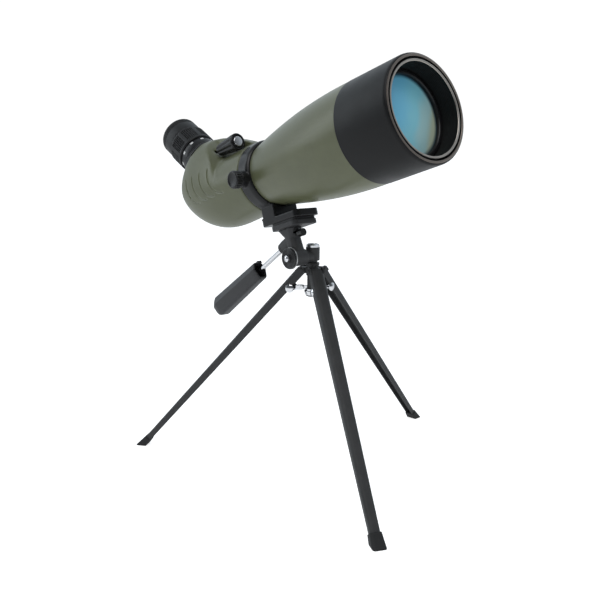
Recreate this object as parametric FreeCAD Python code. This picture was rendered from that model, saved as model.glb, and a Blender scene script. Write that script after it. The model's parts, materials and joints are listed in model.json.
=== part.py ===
"""Angled spotting scope on a folding table tripod.

The model is built about the pan axis: +X is the scope's heading, +Y its left side, +Z up.
At the end everything moves so that the origin is the bottom centre of the whole object's box.

Four working frames are used, and each sub-part says which one it is drawn in:
- stand frame: the pan axis is Z and the table is Z = 0
- tilt frame: the origin is on the tilt axis and X runs along the platform
- tube frame: X is minus the distance behind the hood's front rim, Z is above the optical axis
- eyepiece frame: Z runs from the housing's sloped seat towards the eye
"""
import FreeCAD, Part
import math
import os

Vec = FreeCAD.Vector
Rot = FreeCAD.Rotation
Place = FreeCAD.Placement

# ---- driving dimensions (mm, degrees) ----
RUN = 0.05                 # radial clearance of a running fit

# tripod
LEG_AZIMUTHS = (-24.0, 96.0, 216.0)
LEG_SPLAY = 41.1           # angle from vertical, legs open
LEG_PIVOT_R = 10.4
LEG_PIVOT_Z = 194.2
LEG_LENGTH = 257.8
LEG_TOP_WIDTH = 13.8
LEG_FOOT_WIDTH = 9.2
LEG_TOP_DEPTH = 8.2
LEG_FOOT_DEPTH = 5.6
LEG_WALL = 1.2
LEG_INNER_EDGE = 4.0       # from the pivot line to the open edges of the channel
EAR_R = 4.0
HINGE_PIN_R = 1.5
CAP_HEIGHT = 11.5
CAP_WIDTH = 13.6
CAP_DEPTH = 8.0
HUB_TOP_Z = 201.0
HUB_R = 6.6
HUB_CORE_R = 6.0
HUB_CORE_Z = 189.0
LUG_R = 2.8                # hinge lugs of the hub
COLUMN_R = 5.0
COLUMN_Z = 168.9

# spreader and braces
RIVET_DOWN = 20.4          # along the leg from its pivot
RIVET_IN = 4.0             # towards the pan axis from the pivot line
RIVET_R = 1.5
RIVET_HEAD_R = 4.1
RIVET_EAR_R = 3.4
SPREADER_PIVOT_R = 10.0
SPREADER_Z = 177.0         # height of its three pivots, legs open
RING_LOW = 170.4
RING_STEP = 174.4
RING_TOP = 176.4
RING_R = 7.6
RING_TOP_R = 6.4
LUG_HALF = 1.2
BRACE_GAP = 0.1
BRACE_PLATE = 1.0
BRACE_R = 2.2
PIVOT_HEAD_R = 1.8

# pan and tilt head
PAN_BASE_Z = 201.6
PAN_BASE_TOP = 216.4
PAN_BASE_R = 6.7
PAN_POST_R = 3.0
PAN_CAP_R = 6.2
TILT_Z = 208.0
PITCH = 17.5
TILT_BOLT_R = 3.0
STEM_Y = -18.8             # middle of the stem and of the tube above it
STEM_OUTER_Y = -27.4
STEM_INNER_Y = -11.6
STEM_BOSS_R = 8.0
STEM_LENGTH = 13.0
STEM_WIDTH = 13.0
DISC_R = 10.0
DISC_THICK = 3.4
PLATFORM_BOTTOM = 28.0     # above the tilt axis, across the platform
PLATFORM_THICK = 4.6
PLATFORM_LENGTH = 37.0
PLATFORM_WIDTH = 29.0
PLATFORM_X = 3.6           # platform centre, ahead of the tilt axis
HANDLE_Z = 17.9            # handle axis above the tilt axis
HANDLE_DROP = 18.1         # handle axis below the platform's line
ROD_R = 2.25
GRIP_START = 63.0
GRIP_END = 152.0
CAMERA_SCREW_R = 3.175     # quarter-inch thread

# tube frame
RIM_X = 182.9              # hood rim ahead of the tilt axis
AXIS_Z = 82.9              # optical axis above the tilt axis
HOOD_R = 44.8
HOOD_BORE_R = 40.0
HOOD_LENGTH = 57.8
SHADE_R = 37.5
SHADE_LENGTH = 46.4
CELL_FRONT = 17.0
CELL_FLANGE = 47.6
CELL_FLANGE_R = 42.0
GLASS_R = 35.0             # 70 mm objective
GLASS_FREE_R = 34.0        # visible aperture
COLLAR_FRONT = 191.1
COLLAR_REAR = 206.4
COLLAR_R = 33.8
LINER_R = 29.6
LINER_THICK = 1.0
TUBE_NECK_R = 29.5
NECK_LENGTH = 12.0         # of the barrel's neck inside the housing
FOOT_FRONT = 156.4
FOOT_REAR = 210.5
FOOT_TOP = -41.5
FOOT_HALF = 14.5
SHELL = 2.4
HOUSING_FRONT = 206.8
HOUSING_R = 33.6
HOUSING_REAR = 335.0
HOUSING_REAR_Z = 18.0      # height of the rearmost point
SWELL_TOP = 58.6           # highest point of the housing
SWELL_S = 290.0            # where it is highest
TAPER_S = 250.0            # where the rear starts to round off
HOUSING_BELLY = 2.0        # extra fullness below
SHOULDER_R = 34.1          # round shoulder cut away under the focus knob
SHOULDER_Y = -5.2
FOCUS_Y = -15.2
FOCUS_Z = 39.8
FOCUS_FRONT = 220.0
FOCUS_REAR = 251.0
FOCUS_R = 8.3
FOCUS_TAIL_R = 5.9

# eyepiece frame
EYE_S = 298.4              # seat centre, in the tube frame
EYE_H = 40.1
EYE_TILT = 45.0
BARREL_R = 20.4
BARREL_CORE_R = 17.0
ZOOM_START = 18.4
ZOOM_END = 40.4
ZOOM_R = 21.9
CUP_START = 40.8
CUP_END = 60.9
CUP_R = 20.9


# ---- shared helpers ----
def wire_face(points):
    """Flat face through the given points, in order."""
    corners = [Vec(*p) for p in points]
    return Part.Face(Part.makePolygon(corners + [corners[0]]))


def turned(outline):
    """Solid turned about the X axis; the outline is (distance behind the rim, radius) pairs."""
    face = wire_face([(-s, 0, r) for s, r in outline])
    return face.revolve(Vec(0, 0, 0), Vec(1, 0, 0), 360)


def spun(outline):
    """Solid turned about the Z axis; the outline is (height, radius) pairs."""
    face = wire_face([(r, 0, t) for t, r in outline])
    return face.revolve(Vec(0, 0, 0), Vec(0, 0, 1), 360)


def ring(outer, inner, low, high):
    """Plain ring about Z."""
    return spun([(low, inner), (low, outer), (high, outer), (high, inner)])


def disc(radius, low, high):
    """Plain cylinder about Z."""
    return Part.makeCylinder(radius, high - low, Vec(0, 0, low))


def across(radius, low, high, x=0.0, z=0.0):
    """Plain cylinder along Y."""
    return Part.makeCylinder(radius, high - low, Vec(x, low, z), Vec(0, 1, 0))


def along(radius, front, rear, y=0.0, z=0.0):
    """Plain cylinder in the tube frame, between two distances behind the rim."""
    return Part.makeCylinder(radius, rear - front, Vec(-rear, y, z), Vec(1, 0, 0))


def block(x_span, y_span, z_span):
    """Box between the given limits."""
    size = [hi - lo for lo, hi in (x_span, y_span, z_span)]
    return Part.makeBox(*size, Vec(x_span[0], y_span[0], z_span[0]))


def rounded_plate(x_span, y_span, z_span, corner):
    """Box with its four upright edges rounded."""
    body = block(x_span, y_span, z_span)
    upright = [e for e in body.Edges if abs(e.tangentAt(e.FirstParameter).z) > 0.9]
    return body.makeFillet(corner, upright)


def moved(shape, placement):
    """Copy of the shape in its parent's frame."""
    copy = shape.copy()
    copy.transformShape(placement.toMatrix(), True)
    return copy


TILT = Place(Vec(0, 0, TILT_Z), Rot(Vec(0, 1, 0), -PITCH))
TUBE = TILT * Place(Vec(RIM_X, STEM_Y, AXIS_Z), Rot())
EYE = TUBE * Place(Vec(-EYE_S, 0, EYE_H), Rot(Vec(0, 1, 0), -EYE_TILT))
HANDLE = TILT * Place(Vec(0, STEM_Y, HANDLE_Z), Rot(Vec(0, 1, 0), -90 - HANDLE_DROP))


def leg_place(azimuth):
    """Frame of one leg: its pivot is the origin and the leg hangs along -Z before the splay."""
    turn = Place(Vec(0, 0, 0), Rot(Vec(0, 0, 1), azimuth))
    return turn * Place(Vec(LEG_PIVOT_R, 0, LEG_PIVOT_Z), Rot(Vec(0, 1, 0), -LEG_SPLAY))


# ---- tripod ----
def hub_casting():
    """Stand frame: round cap, core and three hinge lugs in one casting."""
    body = disc(HUB_R, HUB_TOP_Z - 1.6, HUB_TOP_Z).fuse(disc(HUB_CORE_R, HUB_CORE_Z, HUB_TOP_Z))
    lug_half = LEG_TOP_WIDTH / 2 - LEG_WALL - 0.7
    for azimuth in LEG_AZIMUTHS:
        arm = block((0, LEG_PIVOT_R), (-lug_half, lug_half), (LEG_PIVOT_Z - LUG_R, LEG_PIVOT_Z + LUG_R))
        tip = across(LUG_R, -lug_half, lug_half, LEG_PIVOT_R, LEG_PIVOT_Z)
        web = block((0, 6.5), (-1.5, 1.5), (LEG_PIVOT_Z, HUB_TOP_Z))
        lug = arm.fuse([tip, web]).cut(across(HINGE_PIN_R, -9, 9, LEG_PIVOT_R, LEG_PIVOT_Z))
        lug.rotate(Vec(0, 0, 0), Vec(0, 0, 1), azimuth)
        body = body.fuse(lug)
    bore = disc(PAN_POST_R, HUB_TOP_Z - 9, HUB_TOP_Z + 1)
    spigot = disc(4.0, HUB_CORE_Z - 1, HUB_CORE_Z + 2)
    return body.cut([bore, spigot]).removeSplitter()


def centre_column():
    """Stand frame: post under the hub with the stop flange that ends the spreader's travel."""
    shaft = disc(COLUMN_R, COLUMN_Z + 1.2, HUB_CORE_Z)
    spigot = disc(4.0, HUB_CORE_Z, HUB_CORE_Z + 2)
    low, high = COLUMN_Z, COLUMN_Z + 1.2
    stop = spun([(low, 0), (low, 5.2), (low + 0.5, 6.0), (high, 6.0), (high, 0)])
    return shaft.fuse([spigot, stop]).removeSplitter()


def hinge_pins():
    """Stand frame: the three pins that the legs fold on, riveted over at both ends."""
    pins = []
    reach = LEG_TOP_WIDTH / 2
    for azimuth in LEG_AZIMUTHS:
        pin = across(HINGE_PIN_R, -reach - 0.6, reach + 0.6, LEG_PIVOT_R, LEG_PIVOT_Z)
        for low, high in ((-reach - 0.9, -reach - 0.1), (reach + 0.1, reach + 0.9)):
            pin = pin.fuse(across(2.2, low, high, LEG_PIVOT_R, LEG_PIVOT_Z))
        pin.rotate(Vec(0, 0, 0), Vec(0, 0, 1), azimuth)
        pins.append(pin.removeSplitter())
    return Part.makeCompound(pins)


def pan_screw():
    """Stand frame: slotted chrome screw that the head turns on."""
    post = disc(PAN_POST_R, HUB_TOP_Z - 9, PAN_BASE_TOP + 0.1)
    low = PAN_BASE_TOP + 0.1
    top = low + 2.9
    cap = spun([(low, 0), (low, PAN_CAP_R), (low + 2.0, PAN_CAP_R), (top, PAN_CAP_R - 1.2), (top, 0)])
    slot = block((-0.7, 0.7), (-9, 9), (low + 1.9, low + 5))
    slot.rotate(Vec(0, 0, 0), Vec(0, 0, 1), 30)
    return post.fuse(cap).cut(slot).removeSplitter()


def channel_section(depth_t, width, outer, inner_edge, radius):
    """Leg frame: round-backed section of the channel, at one distance down the leg."""
    z = -depth_t
    half = width / 2
    lead = math.sqrt(0.5) * radius
    corner_in = outer - radius
    side = half - radius
    low_l, low_r = Vec(inner_edge, -half, z), Vec(inner_edge, half, z)
    up_l, up_r = Vec(corner_in, -half, z), Vec(corner_in, half, z)
    top_l, top_r = Vec(outer, -side, z), Vec(outer, side, z)
    mid_l = Vec(corner_in + lead, -side - lead, z)
    mid_r = Vec(corner_in + lead, side + lead, z)
    edges = [
        Part.LineSegment(low_l, up_l).toShape(),
        Part.Arc(up_l, mid_l, top_l).toShape(),
        Part.LineSegment(top_l, top_r).toShape(),
        Part.Arc(top_r, mid_r, up_r).toShape(),
        Part.LineSegment(up_r, low_r).toShape(),
        Part.LineSegment(low_r, low_l).toShape(),
    ]
    return Part.Wire(edges)


def flank_at_rivet():
    """Half of the leg's width where the brace rivet crosses it."""
    narrowing = RIVET_DOWN / LEG_LENGTH * (LEG_TOP_WIDTH - LEG_FOOT_WIDTH) / 2
    return LEG_TOP_WIDTH / 2 - narrowing


def leg():
    """Leg frame: tapered channel, open towards the column, with hinge ears and rivet ears."""
    start, end = 1.0, LEG_LENGTH - 4.0
    top_out = LEG_TOP_DEPTH - LEG_INNER_EDGE
    foot_out = LEG_FOOT_DEPTH - LEG_FOOT_DEPTH / 2
    foot_in = -LEG_FOOT_DEPTH / 2
    outer = Part.makeLoft([
        channel_section(start, LEG_TOP_WIDTH, top_out, -LEG_INNER_EDGE, 4.0),
        channel_section(end, LEG_FOOT_WIDTH, foot_out, foot_in, 2.6),
    ], True, True)
    hollow = Part.makeLoft([
        channel_section(start - 0.01, LEG_TOP_WIDTH - 2 * LEG_WALL, top_out - LEG_WALL,
                        -LEG_INNER_EDGE - 2, 1.5),
        channel_section(end + 0.01, LEG_FOOT_WIDTH - 2 * LEG_WALL, foot_out - LEG_WALL,
                        foot_in - 2, 1.4),
    ], True, True)
    half = LEG_TOP_WIDTH / 2
    flank = flank_at_rivet()
    ears = []
    for low, high in ((-half, -half + LEG_WALL), (half - LEG_WALL, half)):
        ear = across(EAR_R, low, high)
        skirt = block((-EAR_R, EAR_R), (low, high), (-4.0, 0))
        ears.append(ear.fuse(skirt))
    for low, high in ((-flank, -flank + LEG_WALL), (flank - LEG_WALL, flank)):
        ears.append(across(RIVET_EAR_R, low, high, -RIVET_IN, -RIVET_DOWN))
    body = outer.cut(hollow).fuse(ears)
    holes = [
        across(HINGE_PIN_R + RUN, -9, 9),
        across(RIVET_R, -9, 9, -RIVET_IN, -RIVET_DOWN),
    ]
    return body.cut(holes).removeSplitter()


def leg_rivet():
    """Leg frame: domed rivet with the two spacer sleeves that centre the brace."""
    x, z = -RIVET_IN, -RIVET_DOWN
    flank = flank_at_rivet()
    body = across(RIVET_R, -flank - 0.5, flank + 0.5, x, z)
    sphere_r = 7.0
    rise = math.sqrt(sphere_r ** 2 - RIVET_HEAD_R ** 2)
    for side in (-1, 1):
        dome = Part.makeSphere(sphere_r, Vec(x, side * (flank - rise + 0.35), z))
        base = flank + 0.05
        keep = block((x - 5, x + 5), sorted((side * base, side * (base + 3))), (z - 5, z + 5))
        trim = across(RIVET_HEAD_R, -12, 12, x, z)
        body = body.fuse(dome.common(keep).common(trim))
        inside = LUG_HALF + 2 * BRACE_GAP + BRACE_PLATE
        sleeve_span = sorted((side * inside, side * (flank - LEG_WALL - 0.1)))
        body = body.fuse(across(2.6, sleeve_span[0], sleeve_span[1], x, z))
    return body.removeSplitter()


def spreader():
    """Stand frame: stepped ring that slides on the column, with a lug for each pair of braces."""
    body = spun([
        (RING_LOW, 0), (RING_LOW, RING_R - 1.0), (RING_LOW + 3.0, RING_R), (RING_STEP, RING_R),
        (RING_STEP, RING_TOP_R), (RING_TOP, RING_TOP_R), (RING_TOP, 0),
    ])
    for azimuth in LEG_AZIMUTHS:
        blade = block((0, SPREADER_PIVOT_R), (-LUG_HALF, LUG_HALF), (SPREADER_Z - 2, SPREADER_Z + 2))
        lug = blade.fuse(across(2.0, -LUG_HALF, LUG_HALF, SPREADER_PIVOT_R, SPREADER_Z))
        lug.rotate(Vec(0, 0, 0), Vec(0, 0, 1), azimuth)
        body = body.fuse(lug)
    bore = disc(COLUMN_R + RUN, RING_LOW - 1, SPREADER_Z + 3)
    return body.cut(bore).removeSplitter()


def rivet_point(splay):
    """Radius and height of a leg's rivet for a given splay."""
    a = math.radians(splay)
    r = LEG_PIVOT_R + RIVET_DOWN * math.sin(a) - RIVET_IN * math.cos(a)
    z = LEG_PIVOT_Z - RIVET_DOWN * math.cos(a) - RIVET_IN * math.sin(a)
    return r, z


def brace():
    """Azimuth-0 plane of the stand frame: two bridged plates from the leg rivet to the spreader.

    The plates stand on both sides of the spreader's lug. Their pivot there has no pin.
    """
    r, z = rivet_point(LEG_SPLAY)
    reach = math.hypot(r - SPREADER_PIVOT_R, z - SPREADER_Z)
    slope = math.degrees(math.atan2(z - SPREADER_Z, r - SPREADER_PIVOT_R))
    plates = []
    inside = LUG_HALF + BRACE_GAP
    for side in (-1, 1):
        span = sorted((side * inside, side * (inside + BRACE_PLATE)))
        bar = block((0, reach), span, (-BRACE_R, BRACE_R))
        head = sorted((side * (inside + BRACE_PLATE), side * (inside + BRACE_PLATE + 0.6)))
        ends = [across(BRACE_R, *span), across(BRACE_R, *span, x=reach), across(PIVOT_HEAD_R, *head)]
        bar = bar.fuse(ends)
        plates.append(bar)
    bridge = block((4.4, reach - 4.4), (-inside - 0.01, inside + 0.01), (BRACE_R - 1.0, BRACE_R))
    body = plates[0].fuse([plates[1], bridge])
    body = body.cut(across(RIVET_R + RUN, -5, 5, reach)).removeSplitter()
    body.rotate(Vec(0, 0, 0), Vec(0, 1, 0), -slope)
    body.translate(Vec(SPREADER_PIVOT_R, 0, SPREADER_Z))
    return body


def foot_cap():
    """Leg frame at the open splay: flared rubber boot with a flat sole, around the leg's end."""
    top = LEG_LENGTH - CAP_HEIGHT
    boot = Part.makeLoft([
        channel_section(top, CAP_WIDTH - 2.4, CAP_DEPTH / 2 - 0.6, -CAP_DEPTH / 2 + 0.6, 2.4),
        channel_section(LEG_LENGTH + 8, CAP_WIDTH, CAP_DEPTH / 2 + 0.8, -CAP_DEPTH / 2 - 0.8, 2.4),
    ], True, True)
    return boot


def cap_on_leg(azimuth, leg_shape):
    """Stand frame: the boot trimmed flat at the table and bored for the leg."""
    place = leg_place(azimuth)
    above = block((-300, 300), (-300, 300), (0, 60))
    return moved(foot_cap(), place).common(above).cut(leg_shape)


# ---- pan and tilt head ----
def pan_washer():
    """Stand frame: thin slip washer between hub and head."""
    return ring(6.4, PAN_POST_R + RUN, HUB_TOP_Z + 0.02, PAN_BASE_Z - 0.08)


def pan_base():
    """Stand frame: round block with the side boss that carries the tilt bolt."""
    body = spun([
        (PAN_BASE_Z, 0), (PAN_BASE_Z, 4.6), (PAN_BASE_Z + 2.2, 4.6), (PAN_BASE_Z + 2.2, PAN_BASE_R),
        (PAN_BASE_TOP, PAN_BASE_R), (PAN_BASE_TOP, 0),
    ])
    boss = across(6.0, STEM_INNER_Y + 0.5, 0, 0, TILT_Z)
    post_bore = disc(PAN_POST_R + RUN, PAN_BASE_Z - 1, PAN_BASE_TOP + 1)
    socket = across(TILT_BOLT_R, STEM_INNER_Y - 1, -PAN_POST_R - 1.2, 0, TILT_Z)
    return body.fuse(boss).cut([post_bore, socket]).removeSplitter()


def tilt_bolt():
    """Stand frame: bolt through the stem, screwed into the pan base, with its chrome cap nut."""
    shank = across(TILT_BOLT_R, STEM_OUTER_Y - DISC_THICK - 1.0, -PAN_POST_R - 1.2, 0, TILT_Z)
    low = STEM_OUTER_Y - DISC_THICK - 2.2
    nut = across(3.0, low, low + 1.5, 0, TILT_Z)
    dome = Part.makeSphere(4.2, Vec(0, low + 3.3, TILT_Z))
    dome = dome.common(across(3.0, low - 2, low + 0.01, 0, TILT_Z))
    return shank.fuse([nut, dome]).removeSplitter()


def tilt_disc():
    """Stand frame: black friction disc with a stepped face, outside the stem."""
    outer = STEM_OUTER_Y - 0.9
    inner = outer - DISC_THICK + 1.0
    plate = across(DISC_R, inner, outer, 0, TILT_Z)
    hub = across(5.0, inner - 0.5, inner, 0, TILT_Z)
    return plate.fuse(hub).cut(across(TILT_BOLT_R, -60, 0, 0, TILT_Z)).removeSplitter()


def rim_washer():
    """Stand frame: pale washer between the disc and the stem."""
    washer = across(DISC_R + 0.3, STEM_OUTER_Y - 0.9, STEM_OUTER_Y - 0.1, 0, TILT_Z)
    return washer.cut(across(TILT_BOLT_R, -60, 0, 0, TILT_Z))


def spacer_washer():
    """Stand frame: washer between the stem and the pan base."""
    washer = across(6.0, STEM_INNER_Y + 0.05, STEM_INNER_Y + 0.5, 0, TILT_Z)
    return washer.cut(across(TILT_BOLT_R, -60, 0, 0, TILT_Z))


def stem():
    """Tilt frame: tilting casting with the bolt boss, the flared stem and the handle socket."""
    boss = across(STEM_BOSS_R, STEM_OUTER_Y, STEM_INNER_Y)
    half_y, half_x = STEM_WIDTH / 2, STEM_LENGTH / 2

    def slab(z, front, rear, wide):
        plate = rounded_plate((-rear, front), (STEM_Y - wide, STEM_Y + wide), (z, z + 1), 4.5)
        return section_wire(plate, z)

    waist = slab(19, 4.6, half_x + 0.6, half_y + 0.2)
    root = slab(-2, half_x + 0.8, half_x, half_y)
    column = Part.makeLoft([root, slab(10, half_x - 0.4, half_x, half_y), waist], True, True)
    flare = Part.makeLoft([waist, slab(PLATFORM_BOTTOM, 7.6, 14.0, half_y + 1.6)], True, True)
    return boss.fuse([column, flare])


def section_wire(shape, z):
    """Outline of an upright-sided plate at one height."""
    flat = [f for f in shape.Faces if abs(f.normalAt(0, 0).z) > 0.9 and abs(f.CenterOfMass.z - z) < 1e-6]
    return flat[0].OuterWire


def handle_boss():
    """Handle frame: socket on the back of the stem."""
    return disc(6.3, 0, 16.2)


def tilt_stem():
    """Stand frame: the stem with its bores and the stub knob's seat."""
    body = moved(stem(), TILT).fuse(moved(handle_boss(), HANDLE))
    bolt_bore = across(TILT_BOLT_R + RUN, -60, 0, 0, TILT_Z)
    rod_bore = moved(disc(ROD_R + RUN, 8, 30), HANDLE)
    stub_bore = moved(Part.makeCylinder(1.5, 8, Vec(2.5, STEM_Y, 21.5), Vec(1, 0, 0)), TILT)
    screw_place = TILT * Place(Vec(PLATFORM_X, STEM_Y, 0), Rot())
    screw_pocket = moved(disc(4.6, PLATFORM_BOTTOM - 5.5, PLATFORM_BOTTOM + 1), screw_place)
    return body.cut([bolt_bore, rod_bore, stub_bore, screw_pocket]).removeSplitter()


def platform():
    """Tilt frame: rounded plate that the foot stands on."""
    x_span = (PLATFORM_X - PLATFORM_LENGTH / 2, PLATFORM_X + PLATFORM_LENGTH / 2)
    y_span = (STEM_Y - PLATFORM_WIDTH / 2, STEM_Y + PLATFORM_WIDTH / 2)
    plate = rounded_plate(x_span, y_span, (PLATFORM_BOTTOM, PLATFORM_BOTTOM + PLATFORM_THICK), 5.0)
    hole = Part.makeCylinder(CAMERA_SCREW_R + RUN, 20, Vec(PLATFORM_X, STEM_Y, PLATFORM_BOTTOM - 5))
    return plate.cut(hole)


def platform_pad():
    """Tilt frame: thin rubber pad on the platform."""
    x_span = (PLATFORM_X - PLATFORM_LENGTH / 2 + 1, PLATFORM_X + PLATFORM_LENGTH / 2 - 1)
    y_span = (STEM_Y - PLATFORM_WIDTH / 2 + 1, STEM_Y + PLATFORM_WIDTH / 2 - 1)
    low = PLATFORM_BOTTOM + PLATFORM_THICK
    plate = rounded_plate(x_span, y_span, (low, AXIS_Z + FOOT_TOP - 6.5), 4.0)
    hole = Part.makeCylinder(CAMERA_SCREW_R + RUN, 20, Vec(PLATFORM_X, STEM_Y, low - 5))
    return plate.cut(hole)


def camera_screw():
    """Tilt frame: quarter-inch screw with its thumb head inside the stem's top."""
    centre = Vec(PLATFORM_X, STEM_Y, 0)
    shank = disc(CAMERA_SCREW_R, PLATFORM_BOTTOM - 2, AXIS_Z + FOOT_TOP - 2.0)
    head = disc(4.5, PLATFORM_BOTTOM - 3.6, PLATFORM_BOTTOM - 0.1)
    body = shank.fuse(head)
    body.translate(centre)
    return body.removeSplitter()


def stub_knob():
    """Tilt frame: small black clamp knob on the front of the stem."""
    shank = Part.makeCylinder(1.45, 8, Vec(3.0, STEM_Y, 21.5), Vec(1, 0, 0))
    head = Part.makeCylinder(3.6, 6.6, Vec(8.4, STEM_Y, 21.5), Vec(1, 0, 0))
    return shank.fuse(head).removeSplitter()


def handle_collar():
    """Handle frame: knurled lock collar against the socket."""
    return ring(5.9, ROD_R, 16.4, 20.0)


def handle_rod():
    """Handle frame: chrome rod screwed into the socket and moulded into the grip."""
    return disc(ROD_R, 9.0, GRIP_START + 34)


def oval(z, width, height, corner_share=0.42):
    """Handle frame: rounded section of the grip at one distance along it."""
    corner = corner_share * min(width, height)
    plate = rounded_plate((-height / 2, height / 2), (-width / 2, width / 2), (z, z + 1), corner)
    return section_wire(plate, z)


def handle_grip():
    """Handle frame: moulded grip that widens to a round butt and is open at its front."""
    body = Part.makeLoft([oval(GRIP_START, 15.8, 18.0), oval(GRIP_END - 6, 18.6, 21.6)], True, True)
    butt = Part.makeLoft([
        oval(GRIP_END - 6, 18.6, 21.6), oval(GRIP_END - 1.5, 16.4, 18.2), oval(GRIP_END, 12.0, 13.0),
    ], True, True)
    mouths = [oval(GRIP_START - 0.5, 12.2, 14.4), oval(GRIP_START + 12, 10.6, 12.6)]
    recess = Part.makeLoft(mouths, True, True)
    bore = disc(ROD_R, GRIP_START - 1, GRIP_START + 34)
    notch = block((-1.6, 1.6), (-9, 9), (GRIP_START - 1, GRIP_START + 3.5))
    tab = block((6.6, 8.6), (-2.4, 2.4), (GRIP_START - 3.4, GRIP_START + 4))
    return body.fuse([butt, tab]).cut([recess, bore, notch]).removeSplitter()


# ---- collar, in the tube frame ----
def tripod_collar():
    """Tube frame: clamp ring, pedestal and foot plate in one casting."""
    band = turned([
        (COLLAR_FRONT, 31.2), (COLLAR_FRONT + 1.6, COLLAR_R - 0.6), (COLLAR_FRONT + 4.0, COLLAR_R),
        (COLLAR_REAR - 1.0, COLLAR_R), (COLLAR_REAR, COLLAR_R - 0.8), (COLLAR_REAR, LINER_R + LINER_THICK),
        (COLLAR_FRONT, LINER_R + LINER_THICK),
    ])
    pedestal = block((-COLLAR_REAR + 0.5, -187.0), (-FOOT_HALF, FOOT_HALF), (FOOT_TOP, -24))
    foot_span = (-FOOT_REAR, -FOOT_FRONT)
    foot = rounded_plate(foot_span, (-FOOT_HALF, FOOT_HALF), (FOOT_TOP - 6.5, FOOT_TOP), 5.5)
    flare = block((-FOOT_REAR, -FOOT_REAR + 8), (-FOOT_HALF + 2, FOOT_HALF - 2), (FOOT_TOP, FOOT_TOP + 2.0))
    boss = Part.makeCylinder(7.6, 9.5, Vec(-198.8, -30.0, -2.9), Vec(0, -1, 0))
    body = band.fuse([pedestal, foot, flare, boss])
    tube_space = along(LINER_R + LINER_THICK, 170, 230)
    front_end = COLLAR_FRONT - 0.01
    front_space = turned([(180, 0), (180, 33.6), (187, 32.0), (front_end, 31.2), (front_end, 0)])
    insert_bore = Part.makeCylinder(5.0, 5.0, Vec(-RIM_X + PLATFORM_X, 0, FOOT_TOP - 6.5))
    knob_bore = Part.makeCylinder(2.0 + RUN, 30, Vec(-198.8, -20.0, -2.9), Vec(0, -1, 0))
    return body.cut([tube_space, front_space, insert_bore, knob_bore]).removeSplitter()


def thread_insert():
    """Tube frame: brass insert for the camera screw."""
    low = FOOT_TOP - 6.5
    body = Part.makeCylinder(5.0, 5.0, Vec(-RIM_X + PLATFORM_X, 0, low))
    return body.cut(Part.makeCylinder(CAMERA_SCREW_R + RUN, 9, Vec(-RIM_X + PLATFORM_X, 0, low - 1)))


def collar_liner():
    """Tube frame: slip liner inside the clamp ring."""
    return along(LINER_R + LINER_THICK, COLLAR_FRONT + 0.4, COLLAR_REAR - 0.4).cut(along(LINER_R, 180, 220))


def collar_knob():
    """Tube frame: ribbed thumb screw that locks the tube's rotation."""
    centre_x, centre_z = -198.8, -2.9
    head = Part.makeCylinder(8.4, 7.0, Vec(centre_x, -39.8, centre_z), Vec(0, -1, 0))
    for step in range(16):
        angle = math.radians(22.5 * step)
        x = centre_x + 8.9 * math.cos(angle)
        z = centre_z + 8.9 * math.sin(angle)
        head = head.cut(Part.makeCylinder(1.0, 9, Vec(x, -39.0, z), Vec(0, -1, 0)))
    shank = Part.makeCylinder(2.0, 8.6, Vec(centre_x, -31.3, centre_z), Vec(0, -1, 0))
    return head.fuse(shank).removeSplitter()


# ---- scope body, in the tube frame ----
def hood():
    """Tube frame: rubber-covered front barrel with a rounded lip."""
    return turned([
        (0.0, 41.4), (0.0, 42.6), (0.5, 43.8), (1.6, 44.6), (3.2, HOOD_R),
        (HOOD_LENGTH, HOOD_R), (HOOD_LENGTH, CELL_FLANGE_R), (CELL_FLANGE, CELL_FLANGE_R),
        (CELL_FLANGE, HOOD_BORE_R), (2.6, HOOD_BORE_R), (2.0, 41.0),
    ])


def sunshade():
    """Tube frame: inner tube that pulls forward out of the hood."""
    outer = HOOD_BORE_R - RUN
    return turned([
        (0.8, SHADE_R), (0.4, SHADE_R + 0.6), (0.4, outer - 0.6), (1.0, outer),
        (SHADE_LENGTH, outer), (SHADE_LENGTH, SHADE_R),
    ])


def objective_cell():
    """Tube frame: seat of the objective, with the flange that joins hood and tube."""
    core = SHADE_R - RUN
    return turned([
        (CELL_FRONT, GLASS_R), (CELL_FRONT, core - 0.6), (CELL_FRONT + 0.8, core), (CELL_FLANGE, core),
        (CELL_FLANGE, CELL_FLANGE_R), (HOOD_LENGTH, CELL_FLANGE_R), (HOOD_LENGTH, 33.0),
        (35.6, 33.0), (35.6, GLASS_R),
    ])


def retaining_ring():
    """Tube frame: threaded ring in front of the objective, with two spanner slots."""
    body = turned([
        (CELL_FRONT, GLASS_FREE_R + 0.6), (CELL_FRONT, GLASS_R), (CELL_FRONT + 3.0, GLASS_R),
        (CELL_FRONT + 3.0, GLASS_FREE_R), (CELL_FRONT + 0.8, GLASS_FREE_R),
    ])
    slot = block((-CELL_FRONT - 1.0, -CELL_FRONT + 1), (-36, 36), (-0.8, 0.8))
    return body.cut(slot)


def lens(front, edge, radius, bulge_front, bulge_rear):
    """Tube frame: lens with spherical faces; a bulge is how far a face swells at its middle."""
    def curve(s, bulge, side):
        ball = (radius ** 2 + bulge ** 2) / (2 * abs(bulge))
        half_way = abs(bulge) - ball + math.sqrt(ball ** 2 - radius ** 2 / 4)
        swell = math.copysign(half_way, bulge)
        middle = Vec(-(s - side * bulge), 0, 0)
        between = Vec(-(s - side * swell), 0, radius / 2)
        return Part.Arc(Vec(-s, 0, radius), between, middle).toShape()

    rear = front + edge
    outline = Part.Wire([
        curve(front, bulge_front, 1),
        Part.LineSegment(Vec(-(front - bulge_front), 0, 0), Vec(-(rear + bulge_rear), 0, 0)).toShape(),
        curve(rear, bulge_rear, -1),
        Part.LineSegment(Vec(-rear, 0, radius), Vec(-front, 0, radius)).toShape(),
    ])
    return Part.Face(outline).revolve(Vec(0, 0, 0), Vec(1, 0, 0), 360)


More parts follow.
